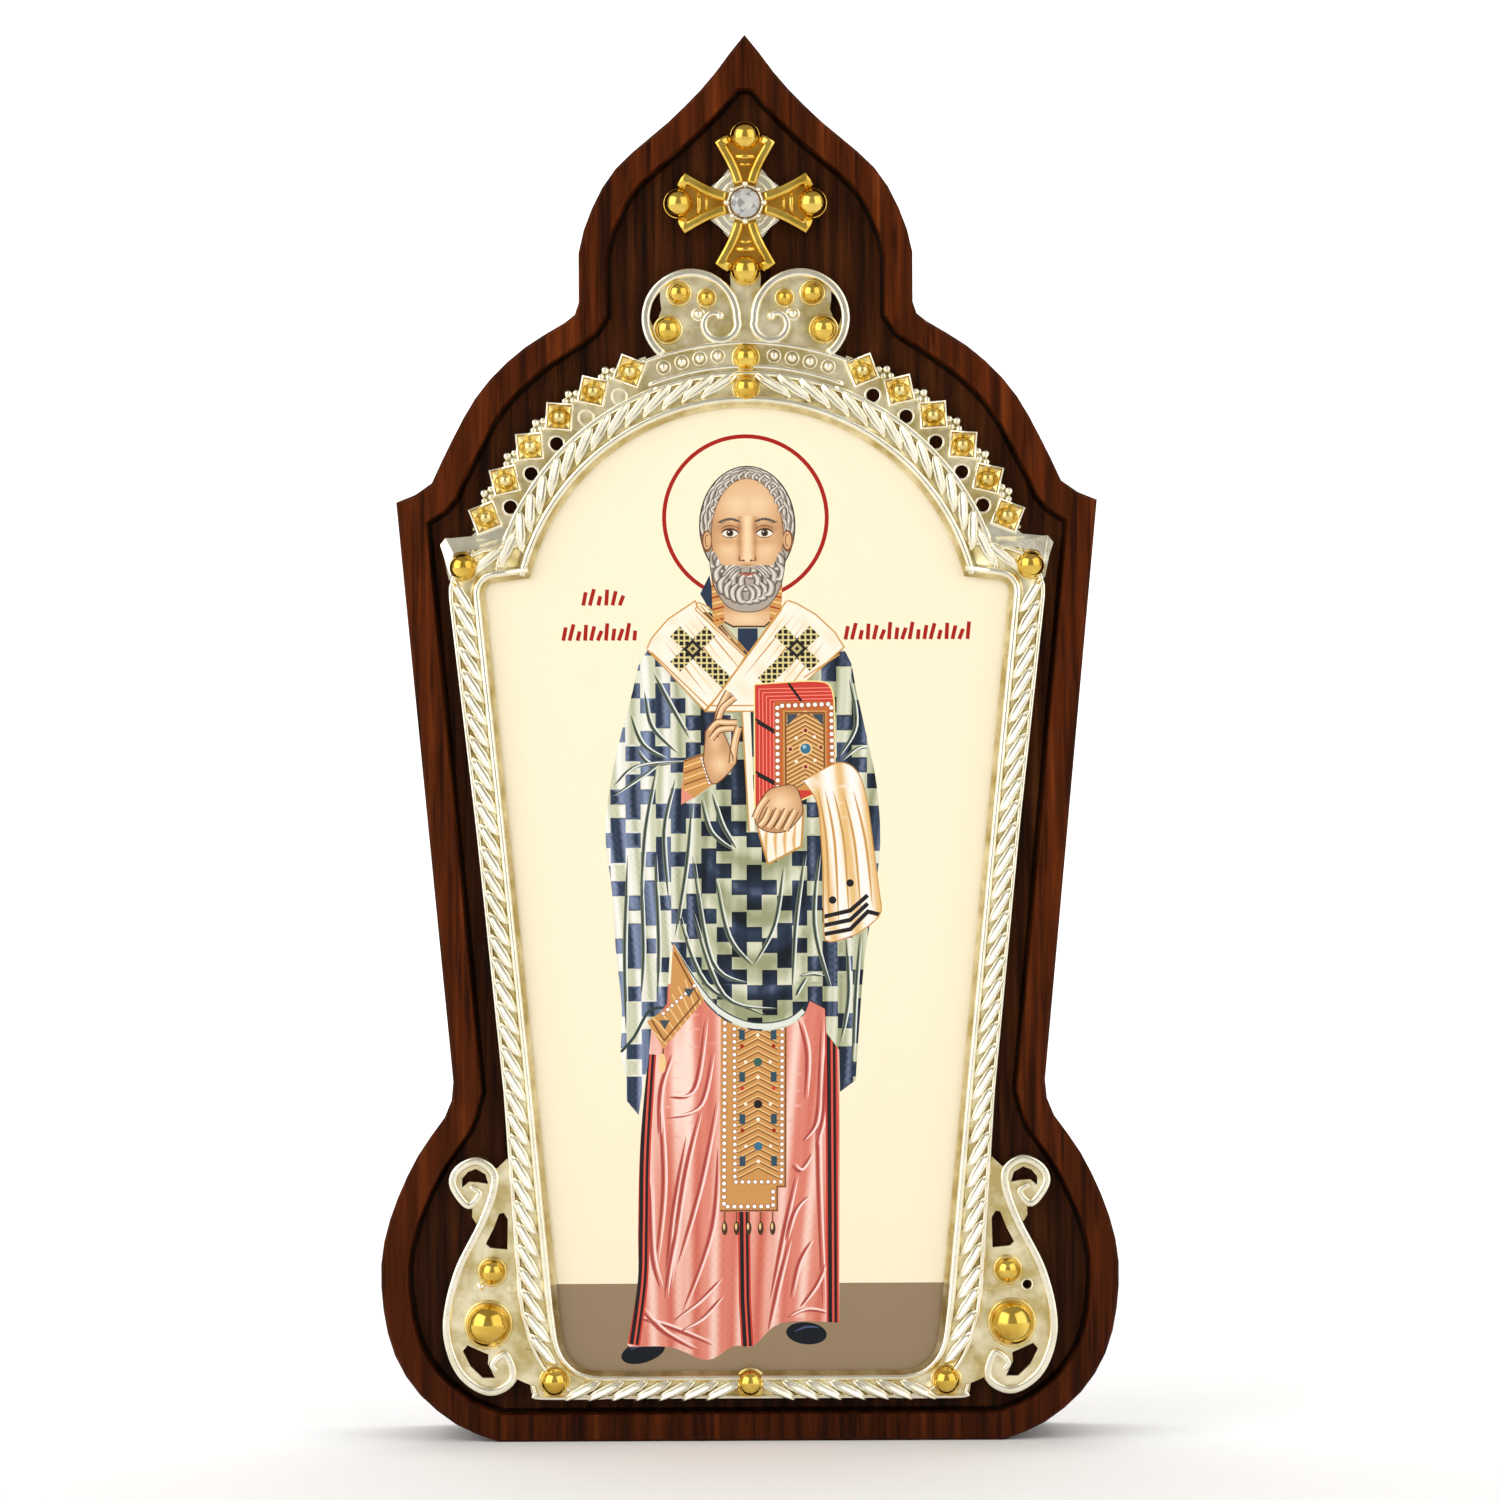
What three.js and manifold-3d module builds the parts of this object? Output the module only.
// Table icon: a shaped wooden board with a sunk field, one cast metal frame lying in that field, a flat
// painted panel behind the frame's opening, and a clear round stone at the middle of the frame's cross.
// Millimetres, +Z up, and the front faces -Y. Outlines are drawn on the board's front (x to the right,
// y up the board), and heights are measured from the board's back towards the viewer.
import * as THREE from 'three';
import { mergeVertices } from 'three/addons/utils/BufferGeometryUtils.js';
import Module from 'manifold-3d';

// The board. Its outline is drawn for DRAWN_HEIGHT and follows BOARD_HEIGHT.
const BOARD_HEIGHT = 240;
const DRAWN_HEIGHT = 240;
const BOARD_THICKNESS = 24;
const EDGE_CHAMFER = 0.5;
const RIM_WIDTH = 4.6;
const COVE_WIDTH = 1.0;
const RECESS_DEPTH = 2.5;

// The panel and the gap that loose pieces keep to each other
const CLEARANCE = 0.3;
const PANEL_THICKNESS = 0.8;
const PANEL_LAP = 1.0;

// The casting: heights are above its own back
const PLATE = 1.5;
const BAR_WIDTH = 5.7;
const BOTTOM_BAR_WIDTH = 4.7;
const FOOT_FLARE = 0.36;
const FOOT_FLARE_TOP = 60;
const SHOULDER_FLARE = 0.1;
const SHOULDER_FLARE_FROM = 105;
const BEAD_WIDTH = 1.6;
const BEAD_HEIGHT = 2.9;
const ROPE_WIDTH = 3.2;
const ROPE_GAP = 0.6;
const ROPE_BED = 2.0;
const ROPE_HEIGHT = 3.1;
const ROPE_PITCH = 3.8;
const ROPE_LAY = THREE.MathUtils.degToRad(33);
const RIDGE_WIDTH = 1.6;
const RIDGE_HEIGHT = 2.7;

// The opening of the casting: rounded bottom corners, and shoulders stepped out below the arch
const OPENING_BOTTOM = 11.9;
const OPENING_FOOT = 31.6;
const OPENING_WAIST = 44.7;
const LEDGE_Y = 147.4;
const CORNER_RADIUS = 6.5;

// The arch of diamond cells over the opening
const ARCH_Y = 138.2;
const ARCH_RADIUS = 38.2;
const CELLS_PER_SIDE = 6;
const CELL_RADIUS = 48.6;
const CELL_REACH = 3.4;
const CELL_HEIGHT = 2.9;
const CELL_FIRST = THREE.MathUtils.degToRad(24.1);
const CELL_STEP = THREE.MathUtils.degToRad(8.45);
const GALLERY_OUTER = CELL_RADIUS + 1.7;
const GRANULE_RADIUS = 0.8;
const PIERCING_RADIUS = 1.2;
const PIERCING_RING = CELL_RADIUS - 3.0;
const LEFT_CLOSED_PIERCINGS = 2;
const BAND_INNER = 45.2;
const BAND_OUTER = 49.2;
const PEARL_RADIUS = 0.8;

// The cross and its stone
const CROSS_Y = 211.2;
const CROSS_HEIGHT = 2.8;
const DISC_RADIUS = 6.1;
const DISC_HEIGHT = 2.0;
const STONE_DIAMETER = 5.0;
const STONE_DEPTH = 1.7;
const STONE_CROWN = 0.8;
const PRONG_RADIUS = 0.45;

const ARM_SIDE = [[1.5, 1.7], [3.4, 1.9], [5.3, 2.5], [7.5, 3.5], [10.1, 4.95]];
const ARM_BALL_RADIUS = 2.45;
const ARM_BALL_REACH = 11.4;

// The crest under the cross: pearls on a band, and a volute on each side
const PEARL_ANGLES = [5.8, 9.6, 13.4, 17.3];
const VOLUTE = { x: 9.3, y: 191.6, radius: 8.0, curlX: 4.4, curlY: 190.9 };
const VOLUTE_BALLS = [
  { x: 13.3, y: 189.7, radius: 2.2 },
  { x: 11.4, y: 195.9, radius: 1.9 },
  { x: 6.65, y: 195.1, radius: 1.4 },
  { x: 8.1, y: 192.3, radius: 0.8 },
];

// The scrolls at the lower corners: one ridge from the end of the upper curl to the end of the lower
const SCROLL_STEPS = 28;
const SCROLL_LINE = [[47.6, 43.6], [46.1, 42.3], [48.1, 40.4], [50.6, 43.8], [49.8, 46.5], [46.7, 48], [43.9, 46.3],
  [43.7, 43], [45.8, 37.2], [50, 28.6], [51.8, 19.4], [49.6, 12], [44.7, 8.6], [40.6, 10.6], [41.7, 14.9],
  [44, 13.3], [43.3, 12.1]];
const SCROLL_PLATE = [[36, 9], [38.6, 10.1], [40.4, 10.9], [42.1, 9.1], [44.7, 8.6], [47.4, 9.6], [49.6, 12],
  [51.8, 19.4], [51.5, 23.6], [50.2, 28.2], [46.2, 36.4], [47.4, 38.4], [47.3, 41], [43.6, 46.2], [41.4, 48.3],
  [38, 48.3]];
const SCROLL_DISCS = [{ x: 47.1, y: 44.2, radius: 3.6 }, { x: 42.1, y: 12.1, radius: 2.2 }];
const SCROLL_HOLES = [
  [[44.6, 44], [46.4, 44.3], [47.9, 44.4], [49.1, 43.4], [49.1, 44.9], [48.1, 46.1], [46.7, 46.6], [45.1, 45.7]],
  [[41.4, 32.8], [44.4, 33.1], [45.1, 33.8], [43.8, 36.3], [42.8, 38.9], [42, 39.1], [41.3, 38]],
  [[43.6, 10.9], [45.7, 10.9], [47.8, 12.9], [49.1, 15.5], [48.3, 16.5], [46.3, 15.6], [44.7, 14.9], [44.8, 13.3]],
];
const SCROLL_BALLS = [
  { x: 44.0, y: 29.0, radius: 2.2, around: 8, down: 5 },
  { x: 44.7, y: 20.0, radius: 3.85, around: 12, down: 7 },
];

// Balls set on the moulding, and the pointed ears at its shoulders
const CORNER_BALLS = [
  { x: 48.4, y: 149.3, radius: 2.35 },
  { x: 33.4, y: 10.3, radius: 2.4 },
];
const MIDDLE_BALLS = [
  { x: 0, y: 10.0, radius: 2.2 },
  { x: 0, y: 184.9, radius: 2.1 },
  { x: 0, y: 179.7, radius: 2.1 },
];
const EAR = [[50.2, 144], [52.1, 153.1], [51.3, 154.2], [48.6, 155.4], [46.6, 156.4], [41.5, 156.2], [40.6, 150],
  [44.4, 147]];
const EAR_RAIL = [[50.4, 146.5], [52.2, 153.1], [51.4, 154.2], [42.4, 154], [43, 152.9], [50, 151.9]];

const k = BOARD_HEIGHT / DRAWN_HEIGHT;
const recessFloor = BOARD_THICKNESS - RECESS_DEPTH;
const seat = recessFloor + CLEARANCE;

const wasm = await Module();
wasm.setup();

// Solids from geometries, and back
function solidOf(geometry) {
  const bare = geometry.clone();
  bare.deleteAttribute('normal');
  bare.deleteAttribute('uv');
  const merged = mergeVertices(bare, 1e-4);
  const mesh = new wasm.Mesh({
    numProp: 3,
    vertProperties: new Float32Array(merged.attributes.position.array),
    triVerts: new Uint32Array(merged.index.array),
  });
  return new wasm.Manifold(mesh);
}

function geometryOf(solid) {
  const mesh = solid.getMesh();
  const geometry = new THREE.BufferGeometry();
  geometry.setAttribute('position', new THREE.BufferAttribute(new Float32Array(mesh.vertProperties), 3));
  geometry.setIndex(new THREE.BufferAttribute(new Uint32Array(mesh.triVerts), 1));
  geometry.computeVertexNormals();
  return geometry;
}

function join(solids) {
  if (solids.length === 1) return solids[0];
  const half = Math.ceil(solids.length / 2);
  return join(solids.slice(0, half)).add(join(solids.slice(half)));
}

function mirrored(solid) {
  return solid.mirror([1, 0, 0]);
}

function bothSides(solids) {
  return [...solids, ...solids.map(mirrored)];
}

// Points on the drawing, scaled with the board
function at(x, y) {
  return new THREE.Vector2(x * k, y * k);
}

function onArch(radius, angle) {
  return at(radius * Math.sin(angle), ARCH_Y + radius * Math.cos(angle));
}

// The points of a path, with its curves cut into steps and its lines cut only where asked
function sampled(path, step, cutLines = false) {
  const points = [path.curves[0].getPoint(0)];
  for (const curve of path.curves) {
    const straight = curve.isLineCurve && !cutLines;
    const pieces = straight ? 1 : Math.max(2, Math.round(curve.getLength() / step));
    points.push(...curve.getSpacedPoints(pieces).slice(1));
  }
  return points;
}

// A closed outline from its right half, which runs from the bottom middle up to the top middle
function closedFrom(half) {
  const left = half.slice(1, -1).reverse().map((p) => new THREE.Vector2(-p.x, p.y));
  return [...half, ...left];
}

function distanceToOutline(point, outline) {
  let nearest = Infinity;
  outline.forEach((a, i) => {
    const b = outline[(i + 1) % outline.length];
    const along = new THREE.Line3(new THREE.Vector3(a.x, a.y), new THREE.Vector3(b.x, b.y));
    const foot = along.closestPointToPoint(new THREE.Vector3(point.x, point.y), true, new THREE.Vector3());
    nearest = Math.min(nearest, Math.hypot(foot.x - point.x, foot.y - point.y));
  });
  return nearest;
}

// The sideways direction at each point of a path, to the left of its run, lengthened at mitred corners
function mitres(points, closed) {
  return points.map((p, i) => {
    const before = closed || i > 0 ? points.at(i - 1) : null;
    const after = closed || i < points.length - 1 ? points[(i + 1) % points.length] : null;
    const into = before ? p.clone().sub(before).normalize() : after.clone().sub(p).normalize();
    const out = after ? after.clone().sub(p).normalize() : into;
    const side = new THREE.Vector2(-into.y - out.y, into.x + out.x).normalize();
    return side.divideScalar(Math.max(0.5, side.x * -into.y + side.y * into.x));
  });
}

// An outline moved inwards by a width, without the loops that narrow tips leave behind
function inset(outline, width) {
  const sides = mitres(outline, true);
  const moved = outline.map((p, i) => p.clone().addScaledVector(sides[i], width));
  return moved.filter((p) => distanceToOutline(p, outline) > width - 0.02);
}

// An outline without the points that lie on a straight run
function thinned(outline, slack = 0.02) {
  const kept = [];
  outline.forEach((p, i) => {
    const before = kept.length ? kept.at(-1) : outline.at(-1);
    const after = outline[(i + 1) % outline.length];
    const run = after.clone().sub(before);
    const rise = Math.abs(run.cross(p.clone().sub(before))) / Math.max(run.length(), 1e-9);
    if (rise > slack) kept.push(p);
  });
  return kept;
}

// A slab between two heights
function slab(points, low, high, holes = []) {
  const shape = new THREE.Shape(points);
  shape.holes = holes.map((hole) => new THREE.Path(hole));
  const geometry = new THREE.ExtrudeGeometry(shape, { depth: high - low, bevelEnabled: false });
  geometry.translate(0, 0, low);
  return solidOf(geometry);
}

// A slab whose front and back edges slope in by a bevel
function bevelled(points, low, high, bevel) {
  const shape = new THREE.Shape(points);
  const options = {
    depth: high - low - 2 * bevel,
    bevelSize: bevel,
    bevelOffset: -bevel,
    bevelThickness: bevel,
    bevelSegments: 1,
  };
  const geometry = new THREE.ExtrudeGeometry(shape, options);
  geometry.translate(0, 0, low + bevel);
  return solidOf(geometry);
}

function ring(centre, radius, steps, from = 0, to = 2 * Math.PI) {
  const closed = to - from > 6.28;
  return Array.from({ length: closed ? steps : steps + 1 }, (_, i) => {
    const angle = from + (i / steps) * (to - from);
    return new THREE.Vector2(centre.x + radius * Math.cos(angle), centre.y + radius * Math.sin(angle));
  });
}

function ball(centre, height, radius, around = 8, down = 5) {
  const geometry = new THREE.SphereGeometry(radius, around, down);
  geometry.rotateX(Math.PI / 2);
  geometry.translate(centre.x, centre.y, height);
  return solidOf(geometry);
}

// A strip that follows a path. The section's points are [across, height], counter-clockwise, with
// across to the left of the path's run. The width at each point of the path may be scaled.
function strip(points, section, closed, widthAt = () => 1) {
  const sides = mitres(points, closed);
  const positions = [];
  const index = [];
  const count = section.length;
  points.forEach((p, i) => {
    for (const [across, height] of section) {
      const place = p.clone().addScaledVector(sides[i], across * widthAt(p, i / (points.length - 1)));
      positions.push(place.x, place.y, height);
    }
  });
  const spans = closed ? points.length : points.length - 1;
  for (let i = 0; i < spans; i += 1) {
    const next = (i + 1) % points.length;
    for (let j = 0; j < count; j += 1) {
      const a = i * count + j;
      const b = i * count + ((j + 1) % count);
      const c = next * count + ((j + 1) % count);
      const d = next * count + j;
      index.push(a, b, c, a, c, d);
    }
  }
  if (!closed) {
    const last = (points.length - 1) * count;
    for (let j = 1; j < count - 1; j += 1) {
      index.push(0, j + 1, j);
      index.push(last, last + j, last + j + 1);
    }
  }
  const geometry = new THREE.BufferGeometry();
  geometry.setAttribute('position', new THREE.Float32BufferAttribute(positions, 3));
  geometry.setIndex(index);
  return solidOf(geometry);
}

// A raised ridge along an open path, narrower towards its end
function ridge(points, width = RIDGE_WIDTH, height = RIDGE_HEIGHT) {
  const section = [
    [-width / 2, seat],
    [width / 2, seat],
    [width / 2, seat + height - width / 2],
    [0, seat + height],
    [-width / 2, seat + height - width / 2],
  ];
  return strip(points, section, false, (p, t) => 1 - 0.45 * Math.abs(2 * t - 1) ** 4);
}

// The board
function boardOutline(fillet, step) {
  const half = new THREE.Path();
  half.moveTo(0, 0);
  half.lineTo(43, 0);
  half.splineThru([[50.1, 2.9], [57.2, 9], [61.5, 17.2], [63, 28.5], [61.5, 37.7], [57.2, 47.8], [52, 55.4]]
    .map(([x, y]) => new THREE.Vector2(x, y)));
  half.quadraticCurveTo(51.4 - fillet / 2, 56.3 + fillet / 3, 50.5, 60 + fillet);
  half.lineTo(59.8, 160.4);
  half.splineThru([[57.7, 161.5], [55.4, 162], [53.7, 163.7]].map(([x, y]) => new THREE.Vector2(x, y)));
  half.splineThru([[52.2, 167], [46.1, 178.3], [39, 185.8], [31.6 - fillet / 2, 191]]
    .map(([x, y]) => new THREE.Vector2(x, y)));
  half.quadraticCurveTo(28.5, 192.6 - fillet / 4, 28.5, 193.6 + fillet / 2);
  half.lineTo(28.5, 202.8);
  half.splineThru([[26.8, 209], [22.2, 217.1], [12.9, 225.3], [6.6, 231.6], [2.9, 236.4], [0, 240]]
    .map(([x, y]) => new THREE.Vector2(x, y)));
  return closedFrom(sampled(half, step, true).map((p) => p.multiplyScalar(k)));
}

function recessOutline(width) {
  return thinned(inset(boardOutline(0, 1.4), width), 0.06);
}

function board() {
  const blank = bevelled(thinned(boardOutline(1.5, 4)), 0, BOARD_THICKNESS, EDGE_CHAMFER);
  const cut = new THREE.ExtrudeGeometry(new THREE.Shape(recessOutline(RIM_WIDTH + COVE_WIDTH)), {
    depth: RECESS_DEPTH,
    bevelSize: COVE_WIDTH,
    bevelThickness: RECESS_DEPTH,
    bevelSegments: 2,
  });
  cut.translate(0, 0, BOARD_THICKNESS);
  return blank.subtract(solidOf(cut));
}

// The opening of the casting
function openingOutline(step = 3.2) {
  const archEnd = Math.acos((LEDGE_Y - ARCH_Y) / ARCH_RADIUS);
  const half = new THREE.Path();
  half.moveTo(0, OPENING_BOTTOM);
  half.lineTo(OPENING_FOOT - CORNER_RADIUS, OPENING_BOTTOM);
  half.quadraticCurveTo(OPENING_FOOT, OPENING_BOTTOM, OPENING_FOOT + 0.6, OPENING_BOTTOM + CORNER_RADIUS);
  half.lineTo(OPENING_WAIST, LEDGE_Y - 3);
  half.quadraticCurveTo(OPENING_WAIST + 0.2, LEDGE_Y - 0.9, OPENING_WAIST - 2, LEDGE_Y - 0.7);
  half.lineTo(ARCH_RADIUS * Math.sin(archEnd) + 0.8, LEDGE_Y - 0.1);
  half.lineTo(ARCH_RADIUS * Math.sin(archEnd - 0.02), ARCH_Y + ARCH_RADIUS * Math.cos(archEnd - 0.02));
  half.absarc(0, ARCH_Y, ARCH_RADIUS, Math.PI / 2 - archEnd + 0.02, Math.PI / 2, false);
  return closedFrom(sampled(half, step).map((p) => p.multiplyScalar(k)));
}

// The moulding around the opening: inner slope, bright bead, rope bed and outer lip, rebated behind
// for the panel. It is narrower along the bottom.
function mouldingSection() {
  const rebate = PANEL_LAP + CLEARANCE;
  const rebateHeight = PANEL_THICKNESS + CLEARANCE;
  const profile = [
    [0, rebateHeight],
    [BEAD_WIDTH * 0.5, BEAD_HEIGHT],
    [BEAD_WIDTH, BEAD_HEIGHT],
    [BEAD_WIDTH + ROPE_GAP / 2, ROPE_BED],
    [BAR_WIDTH, ROPE_BED],
    [BAR_WIDTH, 0],
    [rebate, 0],
    [rebate, rebateHeight],
  ];
  return profile.map(([across, height]) => [-across, seat + height]);
}

// How wide the moulding is at a point of the opening: it widens down the sides and towards the shoulders
function barScale(p) {
  const y = p.y / k;
  const foot = FOOT_FLARE * Math.max(0, 1 - y / FOOT_FLARE_TOP);
  const shoulder = SHOULDER_FLARE * THREE.MathUtils.clamp((y - SHOULDER_FLARE_FROM) / 40, 0, 1);
  const blend = THREE.MathUtils.smoothstep(y, OPENING_BOTTOM, OPENING_BOTTOM + 2 * CORNER_RADIUS);
  return THREE.MathUtils.lerp(BOTTOM_BAR_WIDTH / BAR_WIDTH, 1 + foot + shoulder, blend);
}

// The moulding runs in two lengths, which cross at the shoulders: over the arch, and round the rest
function moulding() {
  const outline = openingOutline();
  const overArch = (p) => p.y > LEDGE_Y * k && Math.hypot(p.x, p.y - ARCH_Y * k) < (ARCH_RADIUS + 0.1) * k;
  const first = outline.findIndex(overArch);
  const last = outline.findLastIndex(overArch);
  const arch = outline.slice(first, last + 1);
  const rest = [...outline.slice(last), ...outline.slice(0, first + 1)];
  return [arch, rest].map((points) => strip(points, mouldingSection(), false, barScale));
}

// The rope: strands laid at a slant along each run, the other way on the other half
function ropeRun(points) {
  const path = new THREE.Path(points);
  const count = Math.round(path.getLength() / ROPE_PITCH);
  const strands = [];
  for (let i = 0; i < count; i += 1) {
    const t = (i + 0.5) / count;
    const place = path.getPointAt(t);
    const run = path.getTangentAt(t);
    const strand = new THREE.OctahedronGeometry(1, 0);
    strand.scale(ROPE_PITCH * 0.8, ROPE_WIDTH * 0.31, ROPE_HEIGHT - ROPE_BED);
    strand.rotateZ(Math.atan2(run.y, run.x) - ROPE_LAY);
    strand.translate(place.x, place.y, seat + ROPE_BED);
    strands.push(solidOf(strand));
  }
  return strands;
}

function rope() {
  const centre = BEAD_WIDTH + ROPE_GAP + ROPE_WIDTH / 2;
  const beside = (y) => {
    const share = (y - OPENING_BOTTOM) / (LEDGE_Y - OPENING_BOTTOM);
    const inner = THREE.MathUtils.lerp(OPENING_FOOT, OPENING_WAIST, share);
    return at(inner + centre * barScale(at(0, y)), y);
  };
  const side = [146, 110, 75, FOOT_FLARE_TOP, 38, 22, 14].map(beside);
  const bottomY = OPENING_BOTTOM - centre * (BOTTOM_BAR_WIDTH / BAR_WIDTH);
  const bottom = [at(31, bottomY), at(3, bottomY)];
  const archRadius = ARCH_RADIUS + centre * (1 + SHOULDER_FLARE);
  const arch = [];
  for (let i = 0; i <= 22; i += 1) {
    arch.push(onArch(archRadius, THREE.MathUtils.degToRad(4.5 + (i / 22) * 63.5)));
  }
  arch.push(at(42.4, 151.2), at(45.6, 150.4));
  return bothSides([...ropeRun(side), ...ropeRun(bottom), ...ropeRun(arch)]);
}

// The arch of cells
function diamond(centre, reach, angle, low, high) {
  return slab(ring(centre, reach, 4, angle, angle + 2 * Math.PI), low, high);
}

function cell(angle) {
  const centre = onArch(CELL_RADIUS, angle);
  const turn = Math.PI / 2 - angle;
  const top = seat + CELL_HEIGHT;
  const pit = new THREE.OctahedronGeometry(1, 0);
  pit.scale(CELL_REACH * 0.78 * k, CELL_REACH * 0.78 * k, 1.3);
  pit.rotateZ(turn);
  pit.translate(centre.x, centre.y, top + 0.15);
  const rim = diamond(centre, CELL_REACH * k, turn, seat, top);
  const bead = new THREE.OctahedronGeometry(1.2, 0);
  bead.rotateZ(turn + Math.PI / 4);
  bead.translate(centre.x, centre.y, top - 0.9);
  return rim.subtract(solidOf(pit)).add(solidOf(bead));
}

function granules(angle) {
  const spots = [[-1.1, -0.3], [0, 0.4], [1.1, -0.3]];
  return spots.map(([aside, out]) => {
    const spot = onArch(GALLERY_OUTER + out, angle + aside / GALLERY_OUTER);
    const grain = new THREE.OctahedronGeometry(GRANULE_RADIUS * k, 0);
    grain.rotateZ(-angle);
    grain.translate(spot.x, spot.y, seat + PLATE);
    return solidOf(grain);
  });
}

function archBand(from, to, inner, outer, height) {
  const steps = Math.max(2, Math.round((to - from) / 0.09));
  const points = [];
  for (let i = 0; i <= steps; i += 1) points.push(onArch(inner, from + (i / steps) * (to - from)));
  for (let i = steps; i >= 0; i -= 1) points.push(onArch(outer, from + (i / steps) * (to - from)));
  return slab(points.reverse(), seat, seat + height);
}

function gallery(firstOpen) {
  const lastCell = CELL_FIRST + (CELLS_PER_SIDE - 1) * CELL_STEP;
  const reach = CELL_REACH / CELL_RADIUS;
  const pieces = [archBand(CELL_FIRST - reach, lastCell + reach * 0.6, ARCH_RADIUS + 4, GALLERY_OUTER, PLATE)];
  for (let i = 0; i < CELLS_PER_SIDE; i += 1) {
    const angle = CELL_FIRST + i * CELL_STEP;
    pieces.push(cell(angle));
    if (i < CELLS_PER_SIDE - 1) pieces.push(...granules(angle + CELL_STEP / 2));
  }
  return join(pieces).subtract(piercings(firstOpen));
}

function piercings(firstOpen) {
  const holes = [];
  for (let i = firstOpen; i < CELLS_PER_SIDE - 1; i += 1) {
    const centre = onArch(PIERCING_RING, CELL_FIRST + (i + 0.5) * CELL_STEP);
    holes.push(slab(ring(centre, PIERCING_RADIUS * k, 6), seat - 1, seat + CELL_HEIGHT + 1));
  }
  return join(holes);
}

// The crest: a band of pearls, and two volutes that carry the cross
function voluteLine() {
  const points = [];
  for (let degrees = -52; degrees <= 180; degrees += 23.2) {
    const angle = THREE.MathUtils.degToRad(degrees);
    points.push(at(VOLUTE.x + VOLUTE.radius * Math.cos(angle), VOLUTE.y + VOLUTE.radius * Math.sin(angle)));
  }
  for (let degrees = 215; degrees <= 450; degrees += 33.5) {
    const angle = THREE.MathUtils.degToRad(degrees);
    const radius = 3.1 - 2 * ((degrees - 180) / 270) ** 4;
    points.push(at(VOLUTE.curlX + radius * Math.cos(angle), VOLUTE.curlY + radius * Math.sin(angle)));
  }
  return points;
}

function crescent(x, y, width, height, turn) {
  const points = [];
  for (let i = 0; i <= 6; i += 1) {
    const angle = -Math.PI / 2 + (i / 6) * Math.PI;
    points.push(new THREE.Vector2(0.62 * width * Math.cos(angle), (height / 2) * Math.sin(angle)));
  }
  points.push(new THREE.Vector2(-0.1 * width, height * 0.25));
  points.push(new THREE.Vector2(-0.3 * width, 0));
  points.push(new THREE.Vector2(-0.1 * width, -height * 0.25));
  return points.map((p) => p.rotateAround(new THREE.Vector2(), turn).add(new THREE.Vector2(x, y)).multiplyScalar(k));
}

function volute() {
  const plate = slab(ring(at(VOLUTE.x, VOLUTE.y), VOLUTE.radius * k, 14), seat, seat + PLATE);
  const hole = slab(crescent(15.0, 193.2, 2.1, 6.4, 0.12), seat - 1, seat + 5);
  const balls = VOLUTE_BALLS.map((b) => {
    const large = b.radius > 1.5;
    return ball(at(b.x, b.y), seat + PLATE + 0.35, b.radius * k, large ? 8 : 6, large ? 5 : 4);
  });
  return [plate.subtract(hole), ridge(voluteLine()), ...balls];
}

function crest() {
  const toCells = CELL_FIRST - 0.6 * (CELL_REACH / CELL_RADIUS);
  const band = archBand(-toCells, toCells, ARCH_RADIUS + 4, BAND_OUTER, PLATE + 0.3);
  const web = slab([[-6, 184], [6, 184], [3.2, 191.6], [4.6, 198.4], [3.4, 201], [-3.4, 201], [-4.6, 198.4],
    [-3.2, 191.6]].map(([x, y]) => at(x, y)), seat, seat + PLATE);
  const pearls = PEARL_ANGLES.map((degrees) => {
    const spot = onArch((BAND_INNER + BAND_OUTER) / 2, THREE.MathUtils.degToRad(degrees));
    return ball(spot, seat + PLATE + 0.5, PEARL_RADIUS * k, 6, 4);
  });
  const fillets = [BAND_INNER, BAND_OUTER].map((radius) => {
    const points = Array.from({ length: 9 }, (_, i) => onArch(radius, -toCells + (i / 8) * 2 * toCells));
    return strip(points.reverse(), [[-0.4, seat], [0.4, seat], [0, seat + PLATE + 1]], false);
  });
  return [band, web, ...fillets, ...bothSides([...pearls, ...volute()])];
}

// The cross: four flared arms on a round disc, a ball at each end
function armOutline(turn, inner) {
  const side = ARM_SIDE.map(([out, half]) => [out + inner * 0.4, inner - half]);
  const end = [[11.5 - 2 * inner, inner * 0.5 - 3.1], [10.3 - inner, 0]];
  const lower = [...side, ...end];
  const upper = lower.slice(0, -1).reverse().map(([out, half]) => [out, -half]);
  return [...lower, ...upper].map(([out, half]) => {
    const point = new THREE.Vector2(out, half).rotateAround(new THREE.Vector2(), turn);
    return point.add(new THREE.Vector2(0, CROSS_Y)).multiplyScalar(k);
  });
}

function arm(turn) {
  const top = seat + CROSS_HEIGHT;
  const body = slab(armOutline(turn, 0), seat, top);
  const sunk = slab(armOutline(turn, 0.9), top - 0.8, top + 1);
  const centre = new THREE.Vector2(ARM_BALL_REACH, 0).rotateAround(new THREE.Vector2(), turn);
  const end = ball(at(centre.x, CROSS_Y + centre.y), seat + PLATE + 0.6, ARM_BALL_RADIUS * k);
  return body.subtract(sunk).add(end);
}

// The stone, a round brilliant: a point behind, a sharp girdle and a flat table
function stoneSolid(grow) {
  const radius = STONE_DIAMETER / 2 + grow;
  const profile = [
    [0, -STONE_DEPTH - grow],
    [radius, 0],
    [radius, 0.15 + grow * 8],
    [radius * 0.56, STONE_CROWN + grow * 8],
    [0, STONE_CROWN + grow * 8],
  ].map(([x, y]) => new THREE.Vector2(x, y));
  const geometry = new THREE.LatheGeometry(profile, 16);
  geometry.rotateX(Math.PI / 2);
  geometry.translate(0, CROSS_Y * k, seat + DISC_HEIGHT + 0.5);
  return solidOf(geometry);
}

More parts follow.
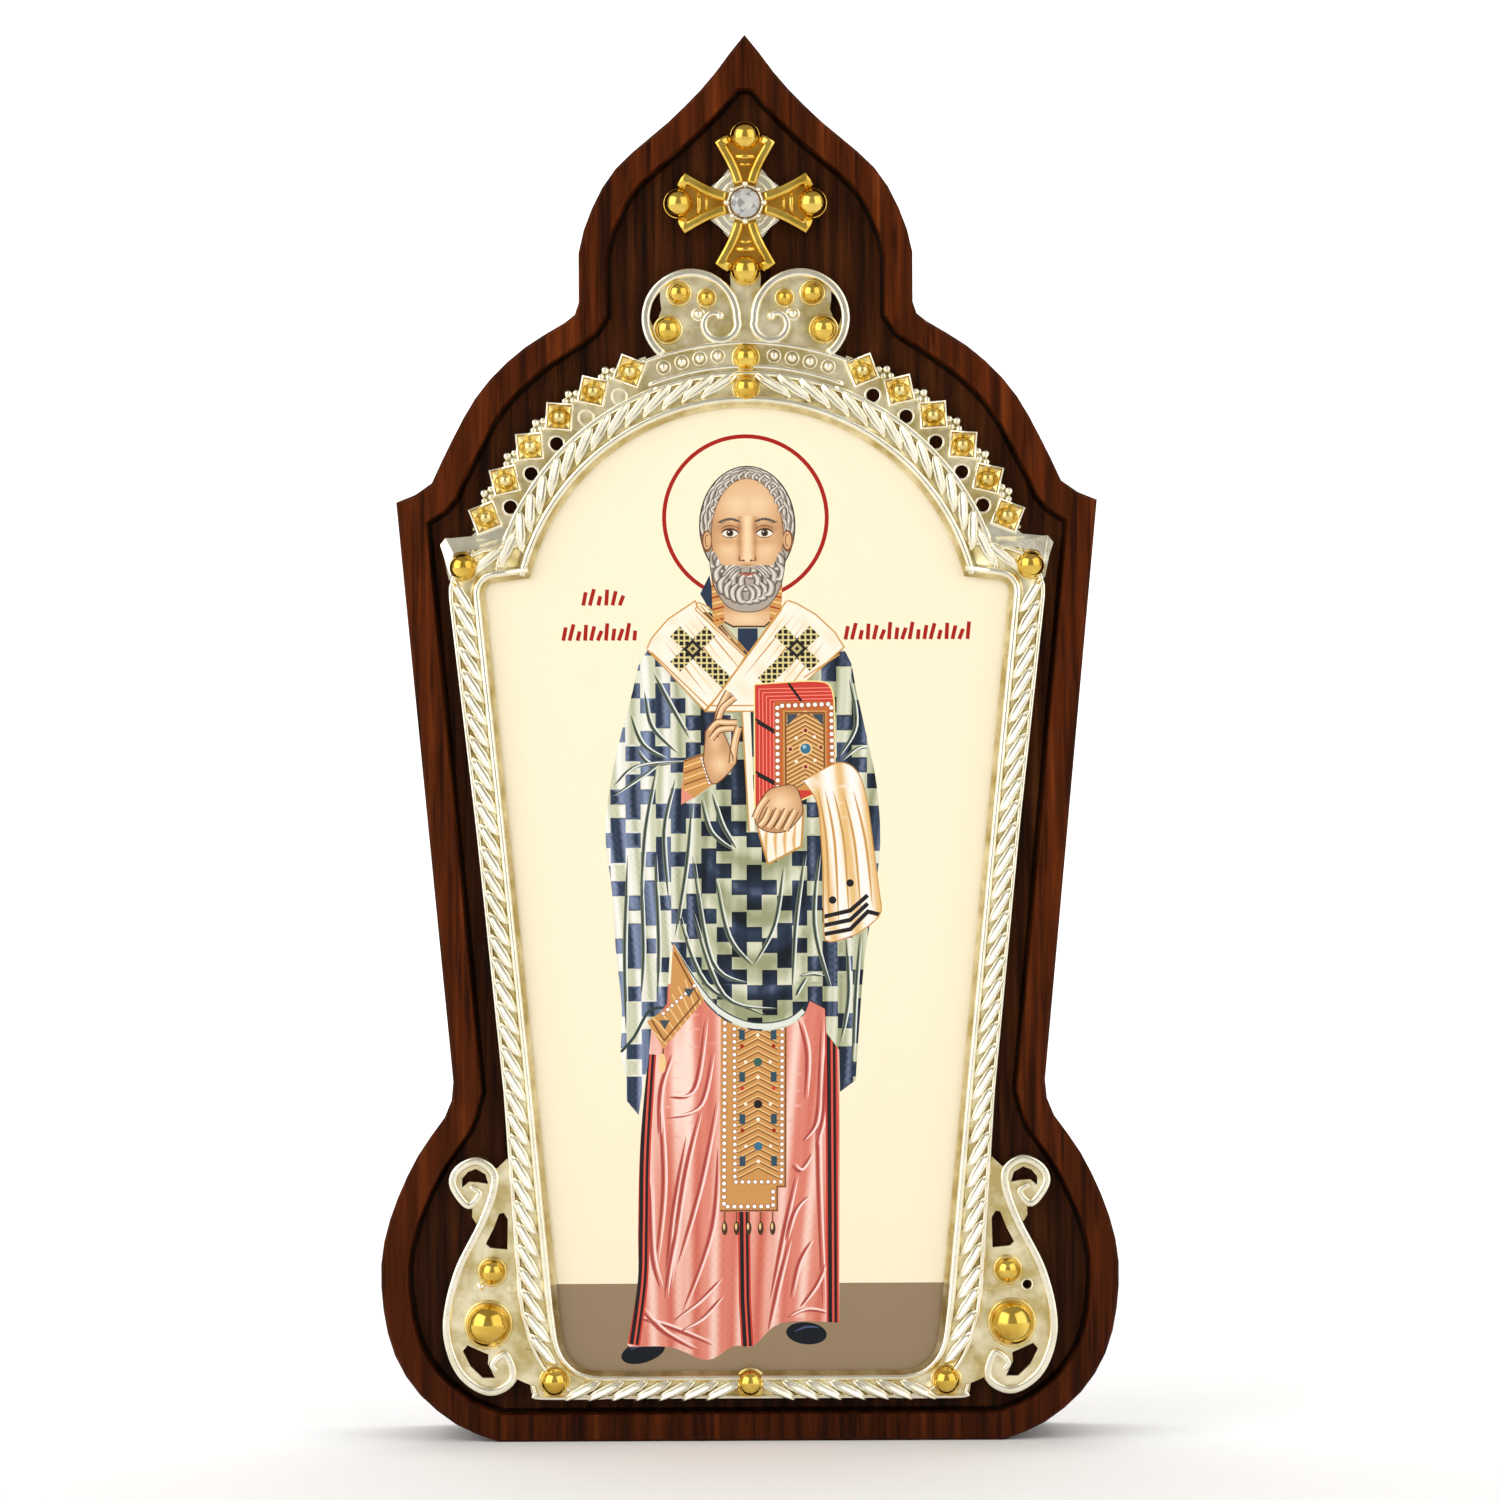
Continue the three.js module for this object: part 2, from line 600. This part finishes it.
function prongs() {
  const reach = STONE_DIAMETER / 2 + CLEARANCE + PRONG_RADIUS;
  return [0, 1, 2, 3].map((i) => {
    const turn = (i * Math.PI) / 2;
    const foot = new THREE.Vector2(reach * Math.cos(turn), CROSS_Y * k + reach * Math.sin(turn));
    return slab(ring(foot, PRONG_RADIUS, 6), seat, seat + DISC_HEIGHT + STONE_CROWN + 0.5);
  });
}

function cross() {
  const disc = slab(ring(at(0, CROSS_Y), DISC_RADIUS * k, 18), seat, seat + DISC_HEIGHT);
  const arms = [0, 1, 2, 3].map((i) => arm((i * Math.PI) / 2));
  return [join([disc, ...arms, ...prongs()]).subtract(stoneSolid(CLEARANCE))];
}

// The scrolls at the lower corners: a long ridge with a curl at each end, over a pierced plate
function scrolls() {
  const line = new THREE.SplineCurve(SCROLL_LINE.map(([x, y]) => at(x, y))).getPoints(SCROLL_STEPS);
  const body = slab(SCROLL_PLATE.map(([x, y]) => at(x, y)), seat, seat + PLATE);
  const discs = SCROLL_DISCS.map((disc) => slab(ring(at(disc.x, disc.y), disc.radius * k, 12), seat, seat + PLATE));
  const holes = SCROLL_HOLES.map((hole) => slab(hole.map(([x, y]) => at(x, y)), seat - 1, seat + PLATE + 0.01));
  const balls = SCROLL_BALLS.map((b) => ball(at(b.x, b.y), seat + PLATE + 0.1, b.radius * k, b.around, b.down));
  return [join([body, ...discs]).subtract(join(holes)), ridge(line), ...balls];
}

// Balls set on the corners of the moulding, and the pointed ears under two of them
function corners() {
  const ear = slab(EAR.map(([x, y]) => at(x, y)), seat, seat + ROPE_BED);
  const rail = slab(EAR_RAIL.map(([x, y]) => at(x, y)), seat, seat + ROPE_HEIGHT - 0.1);
  const foot = slab([[24, 7.2], [36.6, 7.2], [37.4, 8.4], [38.4, 16], [30, 12], [24, 9]].map(([x, y]) => at(x, y)),
    seat, seat + PLATE + 0.4);
  const balls = CORNER_BALLS.map((b) => ball(at(b.x, b.y), seat + PLATE + 0.9, b.radius * k));
  return bothSides([ear, rail, foot, ...balls]);
}

function metalFrame() {
  const middle = MIDDLE_BALLS.map((b) => ball(at(b.x, b.y), seat + PLATE + 0.9, b.radius * k));
  const casting = join([
    ...moulding(),
    ...rope(),
    gallery(0),
    mirrored(gallery(LEFT_CLOSED_PIERCINGS)),
    ...crest(),
    ...cross(),
    ...bothSides(scrolls()),
    ...corners(),
    ...middle,
  ]);
  const wide = BOARD_HEIGHT;
  const behind = slab([[-wide, -wide], [wide, -wide], [wide, 2 * wide], [-wide, 2 * wide]]
    .map(([x, y]) => new THREE.Vector2(x, y)), 0, seat);
  return casting.subtract(behind).subtract(panel(CLEARANCE));
}

// The painted panel lies on the field, its edge under the moulding
function panel(grow) {
  const outline = openingOutline();
  const sides = mitres(outline, true);
  const reach = PANEL_LAP + grow;
  const points = outline.map((p, i) => p.clone().addScaledVector(sides[i], -reach));
  return slab(points, seat - grow, seat + PANEL_THICKNESS + grow);
}

// The object, turned to stand on the board's flat bottom with its depth centred on the origin
const finishes = {
  board: { color: 0x4a2414, roughness: 0.45, metalness: 0 },
  metal_frame: { color: 0xe9e2c8, roughness: 0.25, metalness: 1 },
  icon_panel: { color: 0xfff5d8, roughness: 0.5, metalness: 0 },
  cross_stone: { color: 0xffffff, roughness: 0.02, metalness: 0 },
};

function piece(name, solid) {
  const mesh = new THREE.Mesh(geometryOf(solid), new THREE.MeshStandardMaterial(finishes[name]));
  mesh.name = name;
  return mesh;
}

const pieces = [
  piece('board', board()),
  piece('metal_frame', metalFrame()),
  piece('icon_panel', panel(0)),
  piece('cross_stone', stoneSolid(0)),
];

function frontHeight(meshes) {
  const box = new THREE.Box3();
  for (const mesh of meshes) box.expandByObject(mesh);
  return box.max.z;
}

const upright = new THREE.Group();
upright.rotation.x = Math.PI / 2;
upright.position.y = frontHeight(pieces) / 2;
upright.add(...pieces);

const group = new THREE.Group();
group.add(upright);

export default group;
